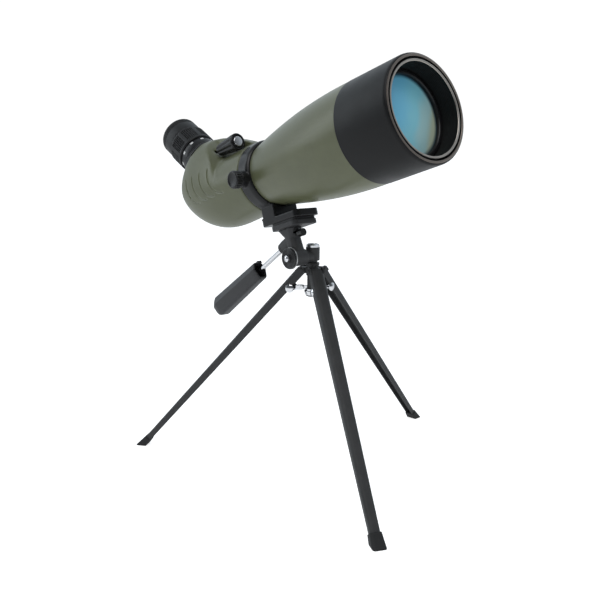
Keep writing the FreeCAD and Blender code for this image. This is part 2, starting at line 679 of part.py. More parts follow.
def crown_lens():
    """Tube frame: front element of the objective."""
    return lens(CELL_FRONT + 3.4, 5.0, GLASS_R, 2.6, 2.4)


def flint_lens():
    """Tube frame: rear element, hollow at its front so that it follows the crown."""
    return lens(CELL_FRONT + 9.3, 6.2, GLASS_R, -2.2, -0.4)


def lens_spacer():
    """Tube frame: thin ring between the two elements."""
    front, rear = CELL_FRONT + 8.7, CELL_FRONT + 9.3
    return turned([(front, 33.6), (front, GLASS_R), (rear, GLASS_R), (rear, 33.6)])


TUBE_PROFILE = (
    (HOOD_LENGTH, 44.6), (76.0, 44.6), (103.0, 43.4), (136.0, 40.0), (169.0, 34.8), (188.0, 31.2),
    (190.9, 30.6),
)


def objective_tube():
    """Tube frame: long tapered barrel that necks down inside the collar."""
    outer = Part.BSplineCurve()
    outer.interpolate([Vec(-s, 0, r) for s, r in TUBE_PROFILE])
    neck_end = HOUSING_FRONT + NECK_LENGTH
    inner = [(neck_end, TUBE_NECK_R - SHELL)] + [(s, r - SHELL) for s, r in reversed(TUBE_PROFILE)]
    corners = [TUBE_PROFILE[-1], (190.9, TUBE_NECK_R), (neck_end, TUBE_NECK_R)] + inner + [TUBE_PROFILE[0]]
    rest = Part.makePolygon([Vec(-s, 0, r) for s, r in corners])
    face = Part.Face(Part.Wire([outer.toShape()] + rest.Edges))
    return face.revolve(Vec(0, 0, 0), Vec(1, 0, 0), 360)


def field_baffle():
    """Tube frame: blackened stop inside the barrel."""
    return turned([(120.0, 26.0), (120.0, 39.2), (121.2, 39.1), (121.2, 26.0)])


HOUSING_STATIONS = (
    HOUSING_FRONT, 216.0, 228.0, 242.0, 258.0, 274.0, 290.0, 303.0, 314.0, 322.0, 328.0, 332.0, 334.2,
)


def rear_round(s, power, sharpness):
    """From 1 where the rear starts to round off down to 0 at the rearmost point."""
    u = max(0.0, (s - TAPER_S) / (HOUSING_REAR - TAPER_S))
    return (1 - u ** power) ** sharpness


def housing_limits(s):
    """Bottom, widest height, top and half width of the housing at one station."""
    u = max(0.0, (s - TAPER_S) / (HOUSING_REAR - TAPER_S))
    half = HOUSING_R * rear_round(s, 2.4, 0.36)
    belly = HOUSING_BELLY * math.sin(math.pi * min(1.0, max(0.0, (s - 212.0) / 112.0))) ** 2
    bottom = HOUSING_REAR_Z - (HOUSING_REAR_Z + 33.9) * rear_round(s, 2.5, 0.58) - belly
    middle = HOUSING_REAR_Z * u ** 1.6
    if s <= SWELL_S:
        climb = math.sin(math.pi / 2 * (s - HOUSING_FRONT) / (SWELL_S - HOUSING_FRONT)) ** 0.9
        top = HOUSING_R + (SWELL_TOP - HOUSING_R) * climb
    else:
        fall = (s - SWELL_S) / (HOUSING_REAR - SWELL_S)
        top = HOUSING_REAR_Z + (SWELL_TOP - HOUSING_REAR_Z) * math.sqrt(1 - fall ** 2)
    return bottom, middle, top, half


def housing_section(s, inset, shift):
    """Tube frame: egg outline, round below its widest height and squarer above it towards the rear."""
    bottom, middle, top, half = housing_limits(s)
    low, high, wide = bottom + inset, top - inset, half - inset
    square = 1.0 - 0.2 * min(1.0, max(0.0, (s - 240.0) / 45.0))
    points = []
    for step in range(16):
        angle = 2 * math.pi * step / 16
        c, n = math.cos(angle), math.sin(angle)
        power = square if n > 0 else 1.0
        reach = high - middle if n > 0 else middle - low
        y = wide * math.copysign(abs(c) ** power, c)
        z = middle + reach * math.copysign(abs(n) ** power, n)
        points.append(Vec(-s - shift, y, z))
    curve = Part.BSplineCurve()
    curve.interpolate(points, PeriodicFlag=True)
    return Part.Wire(curve.toShape())


def housing_form(inset):
    """Tube frame: smooth form of the prism housing, shrunk by the inset."""
    wires = []
    for s in HOUSING_STATIONS:
        shift = -inset if s > SWELL_S else 0.0
        wires.append(housing_section(s, inset, shift))
    return Part.makeLoft(wires, True, False)


def shoulder_space(grow):
    """Tube frame: space cut from the housing's right shoulder to make room for the focus knob."""
    low, bend = SHOULDER_R - grow, FOCUS_REAR - 4 + grow
    space = turned([(195, low), (bend, low), (bend + 22, low + 22), (bend + 22, 75), (195, 75)])
    return space.common(block((-290, -190), (-80, SHOULDER_Y + grow), (-grow, 80)))


def seat_space(lift):
    """Tube frame: everything behind the eyepiece's sloped seat, lifted along the eyepiece axis."""
    space = block((-90, 90), (-90, 90), (lift, 120))
    return moved(space, Place(Vec(-EYE_S, 0, EYE_H), Rot(Vec(0, 1, 0), -EYE_TILT)))


def side_grooves():
    """Tube frame: four equal arcs, one behind the other, sunk into each flank."""
    skin = housing_form(0).cut(housing_form(0.8))
    tools = []
    for step in range(4):
        s, z = 235.0 + 14.5 * step, 16.5
        band = across(23.2, -60, 60, -s, z).cut(across(21.8, -61, 61, -s, z))
        quarter = block((-s - 30, -s), (-60, 60), (z - 30, z + 7))
        tools.append(band.common(quarter).common(skin))
    return tools


def prism_housing():
    """Tube frame: rear shell with the eyepiece seat, the focus shoulder and the side grooves."""
    solid = housing_form(0).cut([seat_space(0), shoulder_space(0)])
    neck_end = HOUSING_FRONT + NECK_LENGTH
    hollow = housing_form(SHELL).cut([seat_space(-SHELL), shoulder_space(SHELL), along(80, 200, neck_end)])
    trough = turned([
        (FOCUS_FRONT - 8, 0), (FOCUS_FRONT - 8, FOCUS_R + 0.6), (FOCUS_FRONT + 6, FOCUS_R + 0.6),
        (FOCUS_REAR + 0.6, FOCUS_TAIL_R + 0.8), (FOCUS_REAR + 0.6, 0),
    ])
    trough.translate(Vec(0, FOCUS_Y, FOCUS_Z))
    shaft_bore = along(2.0 + RUN, FOCUS_REAR - 1, 290, FOCUS_Y, FOCUS_Z)
    neck_bore = along(TUBE_NECK_R, 200, neck_end)
    seat_bore = moved(disc(17.0, -14, 3), Place(Vec(-EYE_S, 0, EYE_H), Rot(Vec(0, 1, 0), -EYE_TILT)))
    screw_bores = grub_cylinders(TUBE_NECK_R - 1, TUBE_NECK_R + 20)
    return solid.cut([hollow, trough, shaft_bore, neck_bore, seat_bore] + screw_bores)


def focus_knob():
    """Tube frame: ribbed, slightly tapered roller on the shoulder of the housing."""
    waist = FOCUS_FRONT + 6
    body = turned([
        (FOCUS_FRONT, 0), (FOCUS_FRONT, FOCUS_R - 0.8), (FOCUS_FRONT + 0.8, FOCUS_R), (waist, FOCUS_R),
        (FOCUS_REAR - 1.5, FOCUS_TAIL_R), (FOCUS_REAR, FOCUS_TAIL_R - 1.5), (FOCUS_REAR, 0),
    ])
    slope = Vec(waist - FOCUS_REAR + 1.5, 0, FOCUS_TAIL_R - FOCUS_R)
    groove = Part.makeCylinder(0.75, 30, Vec(-waist + 1.5, 0, FOCUS_R + 0.15), slope)
    for step in range(18):
        cutter = groove.copy()
        cutter.rotate(Vec(0, 0, 0), Vec(1, 0, 0), 20.0 * step)
        body = body.cut(cutter)
    body = body.fuse(along(2.0, FOCUS_REAR - 1, 288))
    body.translate(Vec(0, FOCUS_Y, FOCUS_Z))
    return body.removeSplitter()


def focus_cap():
    """Tube frame: smooth domed cap in the roller's front face."""
    body = turned([(FOCUS_FRONT - 1.0, 0), (FOCUS_FRONT - 1.0, 4.4), (FOCUS_FRONT, 6.0), (FOCUS_FRONT, 0)])
    body.translate(Vec(0, FOCUS_Y, FOCUS_Z))
    return body


def prism_cage():
    """Tube frame: frame that carries the prism and slides to focus."""
    frame = block((-300, -268), (-17, 17), (-13, 24))
    window = block((-299, -269), (-15, 15), (-30, 40))
    port = along(11.5, 260, 310)
    nut = along(4.2, 276, 284, FOCUS_Y, FOCUS_Z)
    arm = block((-284, -276), (-17, -15), (20, FOCUS_Z))
    bore = along(2.0 + RUN, 260, 290, FOCUS_Y, FOCUS_Z)
    return frame.cut([window, port]).fuse([nut, arm]).cut(bore).removeSplitter()


def prism():
    """Tube frame: glass prism block between the cage walls."""
    profile = [(-270, -12), (-298, -12), (-298, 8), (-284, 22), (-270, 22)]
    outline = [(x, -14.9, z) for x, z in profile]
    return wire_face(outline).extrude(Vec(0, 29.8, 0))


def grub_cylinders(start, end):
    """Tube frame: the set screws that lock the housing on the barrel's neck, or their bores."""
    cylinders = []
    for angle in (0, 90, 180):
        cylinder = Part.makeCylinder(1.25, end - start, Vec(-214.0, 0, -start), Vec(0, 0, -1))
        cylinder.rotate(Vec(0, 0, 0), Vec(1, 0, 0), angle)
        cylinders.append(cylinder)
    return cylinders


# ---- eyepiece, in the eyepiece frame ----
def eyepiece_neck():
    """Eyepiece frame: black base ring on the seat."""
    return spun([
        (0, 17.0), (0, 24.6), (1.6, 24.6), (3.6, 23.0), (6.0, 22.4), (6.0, BARREL_R), (5.0, BARREL_R),
        (5.0, 17.0),
    ])


def eyepiece_barrel():
    """Eyepiece frame: fixed barrel with the index band and the core that the zoom ring turns on."""
    return spun([
        (-3.0, 14.8), (-3.0, 17.0), (5.0, 17.0), (5.0, BARREL_R - 0.4), (5.6, BARREL_R), (17.6, BARREL_R),
        (18.2, BARREL_R - 0.6), (18.2, BARREL_CORE_R), (50.0, BARREL_CORE_R), (50.0, 14.8),
    ])


def index_marks():
    """Eyepiece frame: white index bars set into the barrel's band."""
    marks = []
    for step in range(5):
        mark = block((BARREL_R - 0.3, BARREL_R + 0.05), (-1.7, 1.7), (14.6, 16.8))
        mark.rotate(Vec(0, 0, 0), Vec(0, 0, 1), 36.0 * (step - 2) - 45)
        marks.append(mark)
    return marks


def zoom_ring():
    """Eyepiece frame: ribbed rubber ring that sets the power."""
    body = spun([
        (ZOOM_START, BARREL_CORE_R + RUN), (ZOOM_START, ZOOM_R - 0.8), (ZOOM_START + 0.8, ZOOM_R),
        (ZOOM_END - 0.8, ZOOM_R), (ZOOM_END, ZOOM_R - 0.8), (ZOOM_END, BARREL_CORE_R + RUN),
    ])
    cutters = []
    for step in range(30):
        cutter = block((ZOOM_R - 0.7, ZOOM_R + 1), (-0.9, 0.9), (ZOOM_START + 3.0, ZOOM_END - 3.0))
        cutter.rotate(Vec(0, 0, 0), Vec(0, 0, 1), 12.0 * step)
        cutters.append(cutter)
    return body.cut(cutters)


def zoom_carriage():
    """Eyepiece frame: sliding cell of the zoom lens."""
    return ring(14.8 - RUN, 11.5, 12.0, 20.0)


def zoom_lens():
    """Eyepiece frame: lens in the sliding cell."""
    body = spun([(13.5, 0), (13.5, 11.5), (17.5, 11.5), (17.5, 0)])
    return body


def field_lens():
    """Eyepiece frame: lens at the foot of the barrel."""
    return spun([(-1.5, 0), (-1.5, 14.8), (2.5, 14.8), (2.5, 0)])


def eye_lens():
    """Eyepiece frame: last lens, flush inside the eyecup."""
    return spun([(43.0, 0), (43.0, 14.8), (47.0, 14.8), (48.6, 8.0), (49.0, 0)])


def eyecup_slider():
    """Eyepiece frame: inner sleeve that rises as the cup is twisted."""
    return ring(18.9, BARREL_CORE_R + RUN, CUP_START + 0.2, 50.0)


def eyecup():
    """Eyepiece frame: rubber cup with a rolled rim."""
    return spun([
        (CUP_START, 18.9 + RUN), (CUP_START, CUP_R), (CUP_START + 9, CUP_R + 0.2),
        (CUP_END - 3, CUP_R - 0.4), (CUP_END - 1, CUP_R - 1.0), (CUP_END, CUP_R - 2.4),
        (CUP_END, CUP_R - 4.0), (CUP_END - 1.4, CUP_R - 5.6), (CUP_END - 4.0, CUP_R - 6.2),
        (50.3, 15.6), (50.3, 18.9 + RUN),
    ])


# ---- assembly ----
def build():
    """Every node in the stand frame."""
    nodes = {
        "hub_casting": hub_casting(),
        "centre_column": centre_column(),
        "leg_hinge_pins": hinge_pins(),
        "pan_screw": pan_screw(),
        "spreader_ring": spreader(),
        "pan_washer": pan_washer(),
        "pan_base": pan_base(),
        "tilt_bolt": tilt_bolt(),
        "tilt_disc": tilt_disc(),
        "tilt_rim_washer": rim_washer(),
        "tilt_spacer_washer": spacer_washer(),
        "tilt_stem": tilt_stem(),
    }
    legs = ("front", "left", "rear")
    leg_shape, rivet_shape, brace_shape = leg(), leg_rivet(), brace()
    for name, azimuth in zip(legs, LEG_AZIMUTHS):
        place = leg_place(azimuth)
        nodes[f"{name}_leg"] = moved(leg_shape, place)
        nodes[f"{name}_leg_rivet"] = moved(rivet_shape, place)
        nodes[f"{name}_foot_cap"] = cap_on_leg(azimuth, nodes[f"{name}_leg"])
        nodes[f"{name}_brace"] = moved(brace_shape, Place(Vec(0, 0, 0), Rot(Vec(0, 0, 1), azimuth)))
    for name, shape in (
        ("platform", platform()), ("platform_pad", platform_pad()), ("camera_screw", camera_screw()),
        ("platform_clamp_knob", stub_knob()),
    ):
        nodes[name] = moved(shape, TILT)
    for name, shape in (
        ("handle_collar", handle_collar()), ("handle_rod", handle_rod()), ("handle_grip", handle_grip()),
    ):
        nodes[name] = moved(shape, HANDLE)
    screws = grub_cylinders(TUBE_NECK_R + 0.02, TUBE_NECK_R + 3.4)
    housing = prism_housing().cut(side_grooves())
    marks = index_marks()
    for name, shape in (
        ("tripod_collar", tripod_collar()), ("collar_thread_insert", thread_insert()),
        ("collar_liner", collar_liner()), ("collar_lock_knob", collar_knob()),
        ("hood", hood()), ("sunshade", sunshade()), ("objective_cell", objective_cell()),
        ("objective_retaining_ring", retaining_ring()), ("objective_crown_lens", crown_lens()),
        ("objective_flint_lens", flint_lens()), ("lens_spacer_ring", lens_spacer()),
        ("objective_tube", objective_tube()),
        ("field_baffle", field_baffle()), ("prism_housing", housing),
        ("housing_grub_screws", Part.makeCompound(screws)), ("focus_knob", focus_knob()),
        ("focus_knob_cap", focus_cap()), ("prism_cage", prism_cage()), ("roof_prism", prism()),
    ):
        nodes[name] = moved(shape, TUBE)
    for name, shape in (
        ("eyepiece_neck_ring", eyepiece_neck()), ("eyepiece_barrel", eyepiece_barrel().cut(marks)),
        ("zoom_index_marks", Part.makeCompound(marks)), ("zoom_ring", zoom_ring()),
        ("zoom_lens_carriage", zoom_carriage()), ("zoom_lens", zoom_lens()), ("field_lens", field_lens()),
        ("eye_lens", eye_lens()), ("eyecup_slider", eyecup_slider()), ("eyecup", eyecup()),
    ):
        nodes[name] = moved(shape, EYE)
    return nodes


def base_shift(nodes):
    """Vector that brings the bottom centre of the whole box to the origin."""
    box = FreeCAD.BoundBox()
    for shape in nodes.values():
        box.add(shape.optimalBoundingBox(False))
    return Vec(-box.Center.x, -box.Center.y, -box.ZMin)


def main():
    os.makedirs("parts", exist_ok=True)
    nodes = build()
    shift = base_shift(nodes)
    for name, shape in nodes.items():
        shape.translate(shift)
        shape.exportStep(f"parts/{name}.step")


if __name__ == "__main__":
    main()
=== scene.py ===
"""Looks of the angled spotting scope on its table tripod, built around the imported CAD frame."""
import bpy, bmesh, json, math
from mathutils import Matrix, Vector


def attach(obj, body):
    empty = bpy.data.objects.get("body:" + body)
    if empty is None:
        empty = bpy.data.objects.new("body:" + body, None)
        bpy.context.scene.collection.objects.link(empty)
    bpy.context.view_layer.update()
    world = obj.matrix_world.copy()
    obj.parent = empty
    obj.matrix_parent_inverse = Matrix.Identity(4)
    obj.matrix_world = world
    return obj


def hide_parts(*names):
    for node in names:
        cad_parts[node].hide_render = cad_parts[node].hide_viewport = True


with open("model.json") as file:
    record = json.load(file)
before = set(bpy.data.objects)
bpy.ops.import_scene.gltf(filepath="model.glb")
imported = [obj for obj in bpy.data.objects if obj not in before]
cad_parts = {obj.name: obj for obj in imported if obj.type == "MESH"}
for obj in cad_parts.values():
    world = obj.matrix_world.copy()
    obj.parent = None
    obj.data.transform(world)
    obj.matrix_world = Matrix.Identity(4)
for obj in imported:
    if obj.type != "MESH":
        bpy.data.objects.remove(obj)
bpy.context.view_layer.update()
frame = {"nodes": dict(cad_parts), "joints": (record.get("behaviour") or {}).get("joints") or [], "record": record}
nodes = frame["nodes"]
joints = {j["name"]: j for j in frame["joints"]}
MM = 0.001
TAU = 2 * math.pi


# ---- frames taken from the joints ----
def axes(origin, main, side):
    """Matrix whose Z runs along main and whose X is the given side direction made square to it."""
    z = Vector(main).normalized()
    x = (Vector(side) - z * z.dot(Vector(side))).normalized()
    y = z.cross(x)
    m = Matrix((x, y, z)).transposed().to_4x4()
    m.translation = Vector(origin)
    return m


UP = (0, 0, 1)
RIM_AHEAD = 198.8          # mm from the collar's middle to the hood's rim
ZOOM_SETBACK = 18.4        # mm from the housing's face to the zoom ring
HANDLE_SETBACK = 20.0      # mm from the handle frame's origin to the joint's point


def joint_frame(name, back=0.0):
    """Frame on a joint's axis, X upward, set back along the axis by the given millimetres."""
    j = joints[name]
    main = Vector(j["axis"])
    return axes(Vector(j["pos_m"]) - main * back * MM, main, UP)


PAN = Vector(joints["pan"]["pos_m"])
# tube frame: Z forward along the optical axis from the hood's rim, X up
TUBE = joint_frame("scope_roll", -RIM_AHEAD)
EYE = joint_frame("zoom_turn", ZOOM_SETBACK)
HANDLE = joint_frame("pan_handle_turn", HANDLE_SETBACK)
KNOB = joint_frame("focus_turn")
LOCK = joint_frame("collar_lock_turn")
TILT = joint_frame("tilt")


# ---- material tools ----
MOTTLE_SCALE = 60.0        # noise cells per metre in the broad colour drift
MOTTLE_LOW, MOTTLE_HIGH = 0.32, 0.68
BUMP_DEPTH = 0.0002        # m


def shade(name, base, rough, metal=0.0, coat=0.0, grain=0.6, bump=0.15, mottle=0.12,
          rough_var=0.1, spec=0.5):
    """Principled material with mottled colour, uneven gloss and a surface grain of so many mm."""
    m = bpy.data.materials.new(name)
    m.use_nodes = True
    t = m.node_tree
    n, link = t.nodes, t.links
    p = n["Principled BSDF"]
    co = n.new("ShaderNodeTexCoord")
    big = n.new("ShaderNodeTexNoise")
    big.inputs["Scale"].default_value = MOTTLE_SCALE
    big.inputs["Detail"].default_value = 4.0
    link.new(co.outputs["Object"], big.inputs["Vector"])
    ramp = n.new("ShaderNodeValToRGB")
    low, high = ramp.color_ramp.elements
    low.position, high.position = MOTTLE_LOW, MOTTLE_HIGH
    low.color = (*(c * (1 - mottle) for c in base), 1)
    high.color = (*(min(1.0, c * (1 + mottle)) for c in base), 1)
    link.new(big.outputs["Fac"], ramp.inputs["Fac"])
    link.new(ramp.outputs["Color"], p.inputs["Base Color"])
    fine = n.new("ShaderNodeTexNoise")
    fine.inputs["Scale"].default_value = 1000.0 / grain
    fine.inputs["Detail"].default_value = 3.0
    link.new(co.outputs["Object"], fine.inputs["Vector"])
    gloss = n.new("ShaderNodeMapRange")
    gloss.inputs["To Min"].default_value = max(0.02, rough - rough_var)
    gloss.inputs["To Max"].default_value = min(1.0, rough + rough_var)
    link.new(big.outputs["Fac"], gloss.inputs["Value"])
    link.new(gloss.outputs["Result"], p.inputs["Roughness"])
    b = n.new("ShaderNodeBump")
    b.inputs["Strength"].default_value = bump
    b.inputs["Distance"].default_value = BUMP_DEPTH
    link.new(fine.outputs["Fac"], b.inputs["Height"])
    link.new(b.outputs["Normal"], p.inputs["Normal"])
    p.inputs["Metallic"].default_value = metal
    p.inputs["Coat Weight"].default_value = coat
    p.inputs["Coat Roughness"].default_value = 0.25
    p.inputs["Specular IOR Level"].default_value = spec
    return m


def round_edges(m, radius_mm):
    """Adds a small rounded edge to a material's shading, under its grain."""
    t = m.node_tree
    bevel = t.nodes.new("ShaderNodeBevel")
    bevel.samples = 4
    bevel.inputs["Radius"].default_value = radius_mm * MM
    bump = next(x for x in t.nodes if x.bl_idname == "ShaderNodeBump")
    t.links.new(bevel.outputs["Normal"], bump.inputs["Normal"])
    return m


def glass(name, colour, coat_tint=None):
    """Optical glass, with the tint of its coating where it has one."""
    m = bpy.data.materials.new(name)
    m.use_nodes = True
    p = m.node_tree.nodes["Principled BSDF"]
    p.inputs["Base Color"].default_value = (*colour, 1)
    p.inputs["Roughness"].default_value = 0.02
    p.inputs["Transmission Weight"].default_value = 1.0
    p.inputs["IOR"].default_value = 1.52
    if coat_tint:
        p.inputs["Coat Weight"].default_value = 1.0
        p.inputs["Coat Roughness"].default_value = 0.03
        p.inputs["Coat Tint"].default_value = (*coat_tint, 1)
    return m


# name: (base colour, roughness, edge radius in mm, further settings of shade)
FINISHES = {
    "body_green": ((0.116, 0.124, 0.066), 0.36, 0.4,
                   dict(coat=0.12, grain=0.9, bump=0.05, mottle=0.05, rough_var=0.05, spec=0.42)),
    "powder_coat": ((0.043, 0.043, 0.0445), 0.55, 0.35, dict(grain=0.35, bump=0.5, mottle=0.15)),
    "platform_black": ((0.03, 0.03, 0.032), 0.5, 0.35, dict(grain=0.4, bump=0.35)),
    "chrome": ((0.86, 0.86, 0.88), 0.09, 0.2,
               dict(metal=1.0, grain=0.5, bump=0.02, mottle=0.03, rough_var=0.04)),
    "steel": ((0.55, 0.55, 0.56), 0.3, 0.2, dict(metal=1.0, grain=0.3, bump=0.1)),
    "slip_plastic": ((0.05, 0.05, 0.048), 0.5, None, {}),
    "disc_black": ((0.012, 0.012, 0.013), 0.3, 0.3, dict(grain=0.5, bump=0.06)),
    "rim_white": ((0.7, 0.7, 0.7), 0.3, 0.15, dict(metal=0.6)),
    "foot_rubber": ((0.018, 0.018, 0.019), 0.65, 0.4, dict(grain=0.4, bump=0.3)),
    "grip_plastic": ((0.028, 0.028, 0.031), 0.42, 0.4, dict(grain=0.35, bump=0.2)),
    "collar_black": ((0.009, 0.009, 0.01), 0.3, 0.3,
                     dict(coat=0.1, grain=0.5, bump=0.08, spec=0.3)),
    "brass": ((0.6, 0.42, 0.16), 0.3, None, dict(metal=1.0)),
    "knob_black": ((0.009, 0.009, 0.0098), 0.33, 0.3, dict(grain=0.5, bump=0.1, spec=0.35)),
    "cap_metal": ((0.72, 0.72, 0.74), 0.22, 0.2, dict(metal=0.9)),
    "hood_rubber": ((0.0075, 0.0075, 0.008), 0.44, 0.4,
                    dict(grain=0.45, bump=0.2, mottle=0.12, spec=0.22)),
    "eyepiece_rubber": ((0.0125, 0.0125, 0.0135), 0.46, 0.4,
                        dict(grain=0.45, bump=0.2, mottle=0.12, spec=0.36)),
    "anodised_black": ((0.012, 0.012, 0.0135), 0.34, 0.2, dict(spec=0.35, grain=0.4, bump=0.08)),
    "shade_black": ((0.006, 0.006, 0.0062), 0.5, None, dict(grain=0.4, bump=0.2, spec=0.2)),
    "mark_white": ((0.8, 0.8, 0.79), 0.5, None, {}),
    "rim_metal": ((0.52, 0.475, 0.43), 0.32, 0.15, dict(metal=0.9, grain=0.4, bump=0.05)),
    "hood_lip": ((0.25, 0.215, 0.19), 0.34, 0.15, dict(metal=0.75, grain=0.4, bump=0.06)),
    "pin_steel": ((0.045, 0.045, 0.047), 0.4, 0.2, dict(metal=0.3, grain=0.4)),
}
MATS = {"coated_glass": glass("coated_glass", (0.55, 0.9, 0.95), coat_tint=(0.3, 0.75, 0.8)),
        "glass": glass("glass", (0.9, 0.96, 0.95))}
for name, (base, rough, edge, extra) in FINISHES.items():
    MATS[name] = shade(name, base, rough, **extra)
    if edge:
        round_edges(MATS[name], edge)
slot_of = {s["node"]: s["material_slot"] for s in frame["record"]["subparts"]}
body_of = {n: b for b, group in frame["record"]["behaviour"]["bodies"].items() for n in group}


def dress(o, material):
    """Gives an object one material."""
    o.data.materials.clear()
    o.data.materials.append(material)


def painted_dark_reflection(m, start, painted_dark):
    """Paints a darker base colour into a polished metal at glancing angles: a painted dark reflection.

    It stands in for the dark flags that give chrome its contrast in a white studio.
    """
    t = m.node_tree
    p = t.nodes["Principled BSDF"]
    source = p.inputs["Base Color"].links[0].from_socket
    # the facing angle drives the painted darkening of the base colour
    turn = t.nodes.new("ShaderNodeLayerWeight")
    turn.inputs["Blend"].default_value = 0.5
    span = t.nodes.new("ShaderNodeMapRange")
    span.interpolation_type = "SMOOTHSTEP"
    span.inputs["From Min"].default_value = start
    span.inputs["From Max"].default_value = start + 0.2
    span.inputs["To Max"].default_value = 0.93
    mix = t.nodes.new("ShaderNodeMix")
    mix.data_type = "RGBA"
    mix.inputs["B"].default_value = (*painted_dark, 1)
    t.links.new(turn.outputs["Facing"], span.inputs["Value"])
    t.links.new(span.outputs["Result"], mix.inputs["Factor"])
    t.links.new(source, mix.inputs["A"])
    t.links.new(mix.outputs["Result"], p.inputs["Base Color"])
    p.inputs["Specular Tint"].default_value = (0.25, 0.25, 0.26, 1)


# painted dark reflection on the chrome wherever its surface turns away
painted_dark_reflection(MATS["chrome"], 0.62, (0.02, 0.02, 0.022))
for name, o in nodes.items():
    dress(o, MATS[slot_of[name]])
for name in ("leg_hinge_pins", "camera_screw"):
    dress(nodes[name], MATS["pin_steel"])


# ---- piece tools ----
SHARP = 40.0               # degrees between faces that still shade as one surface
MERGE = 1e-7               # m between points that become one


def place_mesh(name, bm, body, material, replaced=(), sharp=SHARP):
    """Turns a bmesh into a smooth-shaded piece that rides on a body and stands for CAD nodes."""
    bmesh.ops.remove_doubles(bm, verts=bm.verts, dist=MERGE)
    bmesh.ops.recalc_face_normals(bm, faces=bm.faces)
    me = bpy.data.meshes.new(name)
    bm.to_mesh(me)
    bm.free()
    return place_piece(name, me, body, material, replaced, sharp)


def place_piece(name, me, body, material, replaced=(), sharp=SHARP):
    """Links a mesh as a piece of the object; material is one material or a list of them."""
    me.polygons.foreach_set("use_smooth", [True] * len(me.polygons))
    me.set_sharp_from_angle(angle=math.radians(sharp))
    o = bpy.data.objects.new(name, me)
    bpy.context.scene.collection.objects.link(o)
    if me.materials:
        me.materials.clear()
    for m in material if isinstance(material, (list, tuple)) else [material]:
        me.materials.append(m)
    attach(o, body)
    if replaced:
        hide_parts(*replaced)
    return o


def filleted(outline, radius, count=5):
    """Closed outline with its corners rounded."""
    points = [Vector(p) for p in outline]
    rounded = []
    for i, p in enumerate(points):
        before, after = points[i - 1] - p, points[(i + 1) % len(points)] - p
        lead = min(radius, 0.45 * before.length, 0.45 * after.length)
        a, b = p + before.normalized() * lead, p + after.normalized() * lead
        for k in range(count):
            u = k / (count - 1)
            rounded.append(tuple((1 - u) ** 2 * a + 2 * u * (1 - u) * p + u * u * b))
    return rounded


def lathe(name, outline, place, body, material, replaced=(), steps=144, wobble=None,
          paint=None):
    """Closed (along, radius) outline in mm, turned about the frame's Z.

    wobble(angle, along, radius) moves a point in or out; paint(along, radius) picks the material.
    """
    bm = bmesh.new()
    rings = []
    for k in range(steps):
        angle = TAU * k / steps
        ring = []
        for z, r in outline:
            reach = r + (wobble(angle, z, r) if wobble and r > 0 else 0.0)
            p = Vector((reach * math.cos(angle), reach * math.sin(angle), z)) * MM
            ring.append(bm.verts.new(place @ p))
        rings.append(ring)
    count = len(outline)
    for k in range(steps):
        one, two = rings[k], rings[(k + 1) % steps]
        for i in range(count):
            j = (i + 1) % count
            if outline[i][1] == 0 and outline[j][1] == 0:
                continue
            face = bm.faces.new((one[i], one[j], two[j], two[i]))
            if paint:
                middle = [(outline[i][c] + outline[j][c]) / 2 for c in (0, 1)]
                face.material_index = paint(*middle)
    return place_mesh(name, bm, body, material, replaced)


def softened(node, voxel_mm, passes):
    """Moulded version of a CAD node: the same form with small soft edges."""
    source = nodes[node]
    o = bpy.data.objects.new(node + "_form", source.data.copy())
    bpy.context.scene.collection.objects.link(o)
    remesh = o.modifiers.new("remesh", "REMESH")
    remesh.mode = "VOXEL"
    remesh.voxel_size = voxel_mm * MM
    smooth = o.modifiers.new("smooth", "SMOOTH")
    smooth.factor = 0.5
    smooth.iterations = passes
    graph = bpy.context.evaluated_depsgraph_get()
    me = bpy.data.meshes.new_from_object(o.evaluated_get(graph))
    bpy.data.objects.remove(o)
    me.name = node + "_moulded"
    slot = slot_of[node]
    return place_piece(me.name, me, body_of[node], MATS[slot], (node,), sharp=60.0)


def step(low, high, x):
    """Smooth step from 0 to 1."""
    u = min(1.0, max(0.0, (x - low) / (high - low)))
    return u * u * (3 - 2 * u)


# ---- scope front, along the optical axis (Z forward from the rim, mm) ----
HOOD_R, HOOD_LENGTH = 44.8, 57.8
LIP_DEPTH, LIP_R = 0.9, 43.4    # painted face of the hood's rim
hood_outline = filleted([
    (0.0, 41.4), (0.0, 42.6), (-0.5, 43.8), (-1.6, 44.6), (-3.2, HOOD_R), (-HOOD_LENGTH, HOOD_R),
    (-HOOD_LENGTH, 42.0), (-47.6, 42.0), (-47.6, 40.0), (-2.6, 40.0), (-2.0, 41.0),
], 0.5)
lathe("hood_armour", hood_outline, TUBE, "scope_body", [MATS["hood_rubber"], MATS["hood_lip"]],
      ("hood",), steps=192,
      paint=lambda z, r: 1 if z > -LIP_DEPTH and r < LIP_R else 0)

SHADE_R, SHADE_OUTER, SHADE_LENGTH = 37.5, 39.95, 46.4
SHADE_LIP_DEPTH, SHADE_LIP_R = 0.95, 39.3
THREAD_PITCH, THREAD_DEPTH, THREAD_END = 1.5, 0.4, -18.8
threads = []
z = -3.0
while z > THREAD_END:
    threads += [(z, SHADE_R), (z - 0.55, SHADE_R + THREAD_DEPTH),
                (z - 0.75, SHADE_R + THREAD_DEPTH), (z - 1.3, SHADE_R)]
    z -= THREAD_PITCH
shade_outline = filleted([
    (-0.8, SHADE_R), (-0.4, SHADE_R + 0.6), (-0.4, SHADE_OUTER - 0.6), (-1.0, SHADE_OUTER),
    (-SHADE_LENGTH, SHADE_OUTER), (-SHADE_LENGTH, SHADE_R),
], 0.35)
shade_outline += list(reversed(threads))
lathe("sunshade_tube", shade_outline, TUBE, "sunshade", [MATS["shade_black"], MATS["rim_metal"]],
      ("sunshade",), steps=192,
      paint=lambda z, r: 1 if z > -SHADE_LIP_DEPTH and r < SHADE_LIP_R else 0)
